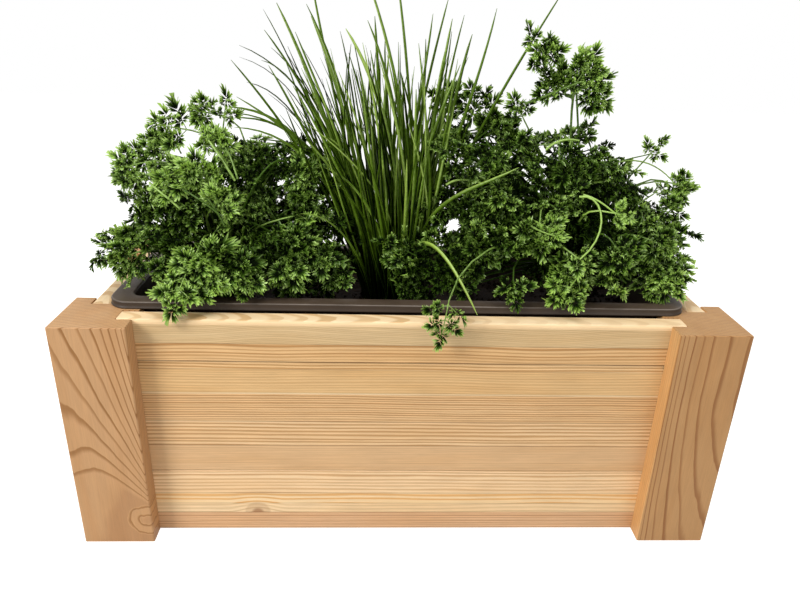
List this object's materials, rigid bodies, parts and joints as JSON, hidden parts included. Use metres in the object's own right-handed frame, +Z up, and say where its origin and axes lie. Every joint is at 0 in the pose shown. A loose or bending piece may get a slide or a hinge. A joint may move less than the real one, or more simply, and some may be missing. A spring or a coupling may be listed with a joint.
{
  "type": "raised garden bed",
  "caption": "Wooden plank planter box on square grooved corner posts, with a lift-out plastic liner holding soil, chives and curly parsley.",
  "frame": {"origin": "on the ground under the middle of the box", "axes": "+X along the length to the right as seen from the front, +Y from the front wall to the rear wall, +Z up"},
  "size_m": [0.692, 0.292, 0.6018],
  "materials": {
    "larch_post": "matte",
    "larch_plank": "matte",
    "zinc_steel": "satin",
    "liner_plastic": "matte",
    "potting_soil": "matte",
    "chive_leaf": "satin",
    "parsley_leaf": "satin"
  },
  "bodies": {
    "box": {"post_front_left": "larch_post", "post_front_right": "larch_post", "post_rear_right": "larch_post", "post_rear_left": "larch_post", "front_strip": "larch_plank", "front_lower_plank": "larch_plank", "front_middle_plank": "larch_plank", "front_upper_plank": "larch_plank", "front_top_plank": "larch_plank", "right_strip": "larch_plank", "right_lower_plank": "larch_plank", "right_middle_plank": "larch_plank", "right_upper_plank": "larch_plank", "right_top_plank": "larch_plank", "rear_strip": "larch_plank", "rear_lower_plank": "larch_plank", "rear_middle_plank": "larch_plank", "rear_upper_plank": "larch_plank", "rear_top_plank": "larch_plank", "left_strip": "larch_plank", "left_lower_plank": "larch_plank", "left_middle_plank": "larch_plank", "left_upper_plank": "larch_plank", "left_top_plank": "larch_plank", "corner_screws": "zinc_steel"},
    "liner": {"planter_liner": "liner_plastic", "potting_soil": "potting_soil", "chives": "chive_leaf", "parsley_left": "parsley_leaf", "parsley_right": "parsley_leaf"}
  },
  "joints": [
    {"name": "liner_lift", "type": "slide", "parent": "box", "child": "liner", "axis": [0, 0, 1], "range_m": [0, 0.2]}
  ]
}
